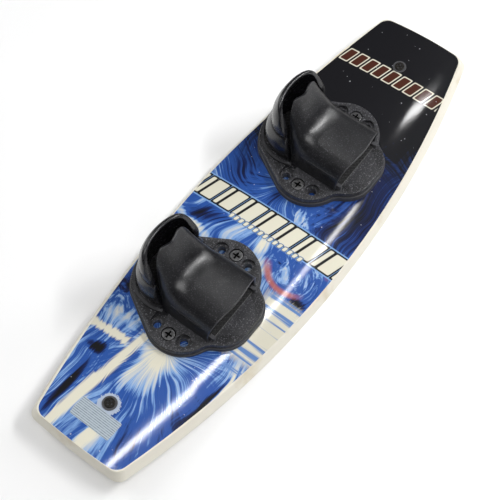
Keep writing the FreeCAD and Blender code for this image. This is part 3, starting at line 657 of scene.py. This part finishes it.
def around_at(along, height):
    """How far round from the foot the instep reaches a height, found by halving."""
    low, high = 0.0, 0.5
    for _ in range(24):
        middle = (low + high) / 2
        if instep_point(middle, along).z < height:
            low = middle
        else:
            high = middle
    return low


def cover_skin(around, along, side, wall):
    """Point of the cover's wall: side 1 on its outer face, -1 on its inner face."""
    step = 1e-3
    a0, a1 = max(around - step, 0.0), min(around + step, 1.0)
    b0, b1 = max(along - step, 0.0), min(along + step, 1.0)
    du = instep_point(a1, along) - instep_point(a0, along)
    dv = instep_point(around, b1) - instep_point(around, b0)
    normal = du.cross(dv).normalized()
    lip = COLLAR_BEAD * math.exp(-(((1 - along) / 0.02) ** 2))
    lip += HEM_BEAD * math.exp(-((along / 0.02) ** 2))
    return instep_point(around, along) - normal * wall * (1 - side) / 2 + normal * lip * side


def cup_rim(around):
    """Height of the heel piece's rim, from -1 to 1 through the heel."""
    return CUP_TOP - CUP_DROP * abs(around) ** CUP_DROP_POWER


def heel_skin(around, share, side, wall, groove):
    """Point of the heel piece's wall: around 0 to 1 through the heel, share from plate to rim."""
    turn = 2 * around - 1
    rim = cup_rim(turn)
    if share < SPLIT_SHARE:
        height = PLATE_TOP + (CUP_SPLIT - PLATE_TOP) * share / SPLIT_SHARE
        low, high, swell = PLATE_TOP, CUP_SPLIT, RAND_BULGE
    else:
        height = CUP_SPLIT + (rim - CUP_SPLIT) * (share - SPLIT_SHARE) / (1 - SPLIT_SHARE)
        low, high, swell = CUP_SPLIT, rim, CUP_BULGE
    part = (height - PLATE_TOP) / (CUP_TOP - PLATE_TOP)
    half = CUP_HALF_BASE + (CUP_HALF_TOP - CUP_HALF_BASE) * part
    back = CUP_BACK_BASE + (CUP_BACK_TOP - CUP_BACK_BASE) * part ** 1.3
    front = CUP_FRONT_BASE + (CUP_FRONT_TOP - CUP_FRONT_BASE) * part
    angle = turn * math.acos((front - CUP_CENTRE_Y) / (back + swell * (1 + side) / 2))
    out = swell * math.sin(math.pi * (height - low) / (high - low))
    out -= groove * math.exp(-(((height - CUP_SPLIT) / GROOVE_HALF) ** 2))
    out = out * (1 + side) / 2 - wall * (1 - side) / 2
    y = CUP_CENTRE_Y + (back + out) * math.cos(angle)
    return Vector(((half + out) * math.sin(angle), y, height))


def plate_frame(binding):
    """Centre of the binding along the board and height of the plate's top, from the frame."""
    low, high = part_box(binding + "_plate")
    return (low.x + high.x) / 2, high.z


def rounded_wall(name, skin, columns, rows, end, rim):
    """A closed wall with rounded rims. skin(u, v, side) gives its points in metres."""
    arc = 7
    halves = [(rim * math.sin(math.pi * i / arc), math.cos(math.pi * i / arc)) for i in range(arc + 1)]
    flat = [(1 - 2 * rim) * i / rows for i in range(rows)]
    loop = [(rim + step, 1.0) for step in flat] + [(1 - rim + out, side) for out, side in halves[:arc]]
    loop += [(1 - rim - step, -1.0) for step in flat] + [(rim - out, -side) for out, side in halves]
    turns = [math.pi / 2 * i / arc for i in range(arc)]
    across = [(end * (1 - math.cos(t)), math.sin(t)) for t in turns]
    across += [(end + (1 - 2 * end) * i / columns, 1.0) for i in range(columns + 1)]
    across += [(1 - end * (1 - math.cos(t)), math.sin(t)) for t in reversed(turns)]
    bpy.ops.object.select_all(action="DESELECT")
    bpy.ops.mesh.primitive_grid_add(
        x_subdivisions=len(across) - 1, y_subdivisions=len(loop) - 1, size=1)
    piece = bpy.context.object
    piece.name = piece.data.name = name
    bpy.ops.object.mode_set(mode="EDIT")
    mesh = bmesh.from_edit_mesh(piece.data)
    if len(mesh.verts) != len(across) * len(loop):
        raise RuntimeError(f"{name}: the grid has {len(mesh.verts)} vertices")
    for vertex in mesh.verts:
        u, thick = across[round((vertex.co.x + 0.5) * (len(across) - 1))]
        v, side = loop[round((vertex.co.y + 0.5) * (len(loop) - 1))]
        vertex.co = skin(u, v, side * thick)
    bmesh.update_edit_mesh(piece.data)
    bpy.ops.mesh.select_all(action="SELECT")
    bpy.ops.mesh.remove_doubles(threshold=1e-6)
    bpy.ops.mesh.dissolve_degenerate(threshold=1e-6)
    bpy.ops.mesh.normals_make_consistent(inside=False)
    bpy.ops.object.mode_set(mode="OBJECT")
    bpy.ops.object.shade_smooth_by_angle(angle=math.radians(50))
    return piece


def tube(name, points, radius):
    """A thin closed welt along points, as a mesh."""
    curve = bpy.data.curves.new(name, "CURVE")
    curve.dimensions = "3D"
    curve.bevel_depth = radius
    curve.bevel_resolution = 2
    curve.use_fill_caps = True
    line = curve.splines.new("NURBS")
    line.points.add(len(points) - 1)
    for spot, point in zip(line.points, points):
        spot.co = (*point, 1.0)
    line.order_u = 3
    line.use_endpoint_u = True
    piece = bpy.data.objects.new(name, curve)
    bpy.context.scene.collection.objects.link(piece)
    bpy.ops.object.select_all(action="DESELECT")
    piece.select_set(True)
    bpy.context.view_layer.objects.active = piece
    bpy.ops.object.convert(target="MESH")
    piece = bpy.context.object
    bpy.ops.object.shade_smooth()
    return piece


def finish_nodes(material, names):
    """Gives CAD nodes a material."""
    for name in names:
        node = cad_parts[name]
        node.data.materials.clear()
        node.data.materials.append(material)


# ---------------------------------------------------------------- operators
class WAKEBOARD_OT_deck(bpy.types.Operator):
    """Prints the deck sheet and lays the pale label on its tail"""
    bl_idname = "wakeboard.deck"
    bl_label = "Deck print and label"

    def execute(self, context):
        look = context.scene.wakeboard_deck
        finish_nodes(deck_print(look), ["deck_sheet"])
        finish_nodes(label_vinyl(), ["tail_label"])
        return {"FINISHED"}


class WAKEBOARD_OT_hull(bpy.types.Operator):
    """Finishes the edge rail, the base laminate and the core"""
    bl_idname = "wakeboard.hull"
    bl_label = "Rail, base and core"

    def execute(self, context):
        look = context.scene.wakeboard_deck
        finish_nodes(rail_urethane(look), ["edge_rail"])
        finish_nodes(glass_laminate(look), ["base_laminate"])
        finish_nodes(sawn_foam(), ["foam_core"])
        return {"FINISHED"}


class WAKEBOARD_OT_covers(bpy.types.Operator):
    """Moulds the two instep covers and the welt along each side of them"""
    bl_idname = "wakeboard.covers"
    bl_label = "Instep covers"

    def execute(self, context):
        look = context.scene.wakeboard_boots
        rubber = grained_rubber("moulded_boot_rubber", look.rubber, 0.31, 2.8, 0.095, painted_glint_amount=0.18)
        wall = look.cover_wall / MM
        for binding in BINDINGS:
            centre, top = plate_frame(binding)
            origin = Vector((centre, 0.0, top - PLATE_TOP * MM))

            def skin(u, v, side):
                return origin + cover_skin(u, v, side, wall) * MM

            cover = rounded_wall(binding + "_boot_cover", skin, 64, 56, 0.012, 0.016)
            cover.data.materials.append(rubber)
            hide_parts(binding + "_instep")
            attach(cover, "board")
            for side, name in ((0.0, "near"), (1.0, "far")):
                points = []
                for step in range(24):
                    along = WELT_FROM + WELT_REACH * step / 23
                    around = abs(side - around_at(along, WELT_HEIGHT))
                    points.append(origin + cover_skin(around, along, 1.0, wall) * MM)
                welt = tube(f"{binding}_cover_welt_{name}", points, 0.9 * MM)
                welt.data.materials.append(rubber)
                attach(welt, "board")
        return {"FINISHED"}


class WAKEBOARD_OT_heels(bpy.types.Operator):
    """Moulds the heel pieces with a groove round each, and finishes the frames round them"""
    bl_idname = "wakeboard.heels"
    bl_label = "Heel pieces"

    def execute(self, context):
        look = context.scene.wakeboard_boots
        rubber = grained_rubber("polished_heel_rubber", look.rubber, 0.26, 3.2, 0.03)
        frame_plastic = grained_rubber("moulded_frame_nylon", look.plastic, 0.45, 2.0, 0.06)
        wall, groove = look.cup_wall / MM, look.groove / MM
        for binding in BINDINGS:
            centre, top = plate_frame(binding)
            origin = Vector((centre, 0.0, top - PLATE_TOP * MM))

            def skin(u, v, side):
                return origin + heel_skin(u, v, side, wall, groove) * MM

            heel = rounded_wall(binding + "_heel_piece", skin, 72, 60, 0.022, 0.030)
            heel.data.materials.append(rubber)
            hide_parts(binding + "_heel_rand", binding + "_heel_cup")
            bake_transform(heel)
            framing = [binding + "_heel_frame", binding + "_clamp_rails"]
            finish_nodes(frame_plastic, framing)
        return {"FINISHED"}


class WAKEBOARD_OT_footbeds(bpy.types.Operator):
    """Cuts the two foam footbeds with rounded ends and a softened upper edge"""
    bl_idname = "wakeboard.footbeds"
    bl_label = "Footbeds"

    def execute(self, context):
        # The foam is near black partly as painted shade: darkened so its toe ends under the covers read
        # as the shadow there.
        foam = footbed_foam(linear("#101012"))
        for binding in BINDINGS:
            low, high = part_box(binding + "_footbed")
            size, middle = high - low, (high + low) / 2
            bpy.ops.object.select_all(action="DESELECT")
            bpy.ops.mesh.primitive_cube_add(size=1)
            pad = bpy.context.object
            pad.name = pad.data.name = binding + "_foam_footbed"
            bpy.ops.object.mode_set(mode="EDIT")
            bpy.ops.transform.resize(value=size, center_override=(0, 0, 0))
            bpy.ops.transform.translate(value=middle)
            for end_y, radius, steps in ((high.y, HEEL_ROUND, 14), (low.y, TOE_ROUND, 8)):
                bpy.ops.mesh.select_all(action="DESELECT")
                mesh = bmesh.from_edit_mesh(pad.data)
                for edge in mesh.edges:
                    a, b = edge.verts
                    upright = (a.co.xy - b.co.xy).length < 1e-6
                    edge.select_set(upright and abs(a.co.y - end_y) < 1e-6)
                bmesh.update_edit_mesh(pad.data)
                bpy.ops.mesh.bevel(offset=radius, segments=steps, affect="EDGES")
            for inset in (FOAM_EDGE, 0.004, 0.012, 0.02):
                bpy.ops.mesh.select_all(action="DESELECT")
                mesh = bmesh.from_edit_mesh(pad.data)
                top_face = max(mesh.faces, key=lambda f: (f.normal.z > 0.9) * f.calc_area())
                top_face.select_set(True)
                bmesh.update_edit_mesh(pad.data)
                bpy.ops.mesh.inset(thickness=inset)
                if inset == FOAM_EDGE:
                    mesh = bmesh.from_edit_mesh(pad.data)
                    for vertex in mesh.verts:
                        if not vertex.select and vertex.co.z > middle.z:
                            vertex.co.z -= FOAM_FALL
                    bmesh.update_edit_mesh(pad.data)
            bpy.ops.object.mode_set(mode="OBJECT")
            bpy.ops.object.shade_smooth_by_angle(angle=math.radians(35))
            pad.data.materials.append(foam)
            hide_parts(binding + "_footbed")
            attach(pad, "board")
        return {"FINISHED"}


class WAKEBOARD_OT_plates(bpy.types.Operator):
    """Finishes the base plates and the gaskets under them"""
    bl_idname = "wakeboard.plates"
    bl_label = "Plates and gaskets"

    def execute(self, context):
        look = context.scene.wakeboard_boots
        plate = grained_rubber("grained_plate_nylon", look.plastic, 0.42, 3.2, 0.14, painted_glint_amount=0.55)
        gasket = grained_rubber("closed_cell_gasket", look.rubber, 0.7, 2.0, 0.08)
        finish_nodes(plate, [b + "_plate" for b in BINDINGS])
        finish_nodes(gasket, [b + "_gasket" for b in BINDINGS])
        return {"FINISHED"}


class WAKEBOARD_OT_hardware(bpy.types.Operator):
    """Finishes the screws, washers, inserts and nuts"""
    bl_idname = "wakeboard.hardware"
    bl_label = "Screws and washers"

    def execute(self, context):
        look = context.scene.wakeboard_boots
        screw_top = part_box("binding_screws")[1].z
        # The binding screws get painted shade in their cross recesses and on their head sides.
        dark_zinc = plated_steel(
            "dark_zinc_steel", linear("#6f6f70"), 0.40, recess=screw_top - 0.6 * MM)
        black_zinc = plated_steel("black_zinc_steel", linear("#3a3836"), 0.45)
        washer = grained_rubber("moulded_washer_nylon", look.plastic, 0.5, 2.0, 0.05)
        finish_nodes(dark_zinc, ["binding_screws", "binding_washers"])
        finish_nodes(black_zinc, ["clamp_screws", "fin_screws"])
        finish_nodes(washer, ["fin_cup_washers"])
        finish_nodes(machined_brass(), ["binding_inserts", "fin_sleeves", "fin_nuts"])
        return {"FINISHED"}


class WAKEBOARD_OT_fins(bpy.types.Operator):
    """Finishes the two low fins under the ends"""
    bl_idname = "wakeboard.fins"
    bl_label = "Fins"

    def execute(self, context):
        look = context.scene.wakeboard_boots
        nylon = grained_rubber("moulded_fin_nylon", look.plastic, 0.36, 2.4, 0.05)
        finish_nodes(nylon, ["tip_fin", "tail_fin"])
        return {"FINISHED"}


class WAKEBOARD_OT_stage(bpy.types.Operator):
    """Lays the pale floor, the soft lights and the camera"""
    bl_idname = "wakeboard.stage"
    bl_label = "Floor, lights and camera"

    def execute(self, context):
        look = context.scene.wakeboard_stage
        scene = context.scene
        bpy.ops.object.select_all(action="DESELECT")
        bpy.ops.mesh.primitive_plane_add(size=14.0, location=(0, 0, 0))
        floor = context.object
        floor.name = floor.data.name = "studio_floor"
        # Painted board: even matte white, with just enough unevenness to look real.
        paint, tree, shader, place = start_finish("matte_white_board", Roughness=0.9)
        tint = add(tree, "TexNoise", {"Vector": place, "Scale": 2.0, "Detail": 2.0})
        ramp = add(tree, "ValToRGB", {"Fac": tint.outputs["Fac"]})
        set_stops(ramp.color_ramp, ((0.3, tuple(0.985 * a for a in look.floor)), (0.7, look.floor)))
        tree.links.new(ramp.outputs["Color"], shader.inputs["Base Color"])
        shader.inputs["Specular IOR Level"].default_value = 0.1
        floor.data.materials.append(paint)

        world = bpy.data.worlds.new("studio_air")
        scene.world = world
        world.use_nodes = True
        world.node_tree.nodes["Background"].inputs["Color"].default_value = (1.0, 1.0, 1.0, 1.0)
        world.node_tree.nodes["Background"].inputs["Strength"].default_value = 0.09

        # Narrow tubes give the broken line of light along the toe side; the large ones are soft.
        lights = (
            ("tube_near", (0.535, 0.390, 2.50), (0.64, 0.045), look.strip * 1.15, -24.5),
            ("tube_far", (1.120, 0.240, 2.50), (0.62, 0.026), look.strip * 0.55, -1.0),
            ("tube_tip", (1.690, 0.350, 2.50), (0.05, 0.09), look.strip * 0.16, 30.0),
            ("key_box", (1.300, -1.520, 2.50), (1.50, 0.20), look.sky_light * 0.62, None),
            ("soft_right", (3.4, -1.4, 2.7), (2.6, 2.6), look.sky_light, None),
            ("soft_far", (-0.6, 3.5, 2.7), (3.2, 2.6), look.sky_light, None),
            ("soft_top", (-1.5, -1.8, 4.2), (2.6, 2.6), look.sky_light * 1.2, None),
        )
        for name, place, size, power, turn in lights:
            bpy.ops.object.light_add(type="AREA", location=place)
            light = context.object
            light.name = light.data.name = name
            light.data.shape = "RECTANGLE"
            light.data.size, light.data.size_y = size
            light.data.energy = power
            if turn is None:
                light.rotation_euler = Vector(place).to_track_quat("Z", "Y").to_euler()
            else:
                light.rotation_euler = (0.0, 0.0, math.radians(turn))

        back = Vector(CAMERA_BACK).normalized()
        right = (-back).cross(Vector((0, 0, 1))).normalized()
        up = right.cross(-back)
        roll = math.radians(CAMERA_ROLL)
        turned_right = math.cos(roll) * right + math.sin(roll) * up
        turned_up = -math.sin(roll) * right + math.cos(roll) * up
        eye = bpy.data.cameras.new("camera")
        camera = bpy.data.objects.new("camera", eye)
        scene.collection.objects.link(camera)
        spin = Matrix((turned_right, turned_up, back)).transposed().to_4x4()
        camera.matrix_world = Matrix.Translation(CAMERA_AT) @ spin
        eye.lens = look.lens
        eye.sensor_width = 36.0
        eye.clip_start, eye.clip_end = 0.05, 50.0
        scene.camera = camera
        scene.view_settings.view_transform = "Standard"
        return {"FINISHED"}


class WAKEBOARD_PT_panel(bpy.types.Panel):
    """Lists the steps of the wakeboard"""
    bl_label = "Wakeboard"
    bl_idname = "WAKEBOARD_PT_panel"
    bl_space_type = "VIEW_3D"
    bl_region_type = "UI"
    bl_category = "Wakeboard"

    def draw(self, context):
        scene = context.scene
        for group in (scene.wakeboard_deck, scene.wakeboard_boots, scene.wakeboard_stage):
            box = self.layout.box()
            for name in group.__annotations__:
                box.prop(group, name)
        for step in STEPS:
            self.layout.operator("wakeboard." + step)


STEPS = ("deck", "hull", "covers", "heels", "footbeds", "plates", "hardware", "fins", "stage")
CLASSES = (
    WakeboardDeck, WakeboardBoots, WakeboardStage, WAKEBOARD_OT_deck, WAKEBOARD_OT_hull,
    WAKEBOARD_OT_covers, WAKEBOARD_OT_heels, WAKEBOARD_OT_footbeds, WAKEBOARD_OT_plates,
    WAKEBOARD_OT_hardware, WAKEBOARD_OT_fins, WAKEBOARD_OT_stage, WAKEBOARD_PT_panel,
)


def register():
    for each in CLASSES:
        bpy.utils.register_class(each)
    bpy.types.Scene.wakeboard_deck = PointerProperty(type=WakeboardDeck)
    bpy.types.Scene.wakeboard_boots = PointerProperty(type=WakeboardBoots)
    bpy.types.Scene.wakeboard_stage = PointerProperty(type=WakeboardStage)


def unregister():
    del bpy.types.Scene.wakeboard_stage
    del bpy.types.Scene.wakeboard_boots
    del bpy.types.Scene.wakeboard_deck
    for each in reversed(CLASSES):
        bpy.utils.unregister_class(each)


def main():
    register()
    for step in STEPS:
        getattr(bpy.ops.wakeboard, step)()


if __name__ == "__main__":
    main()
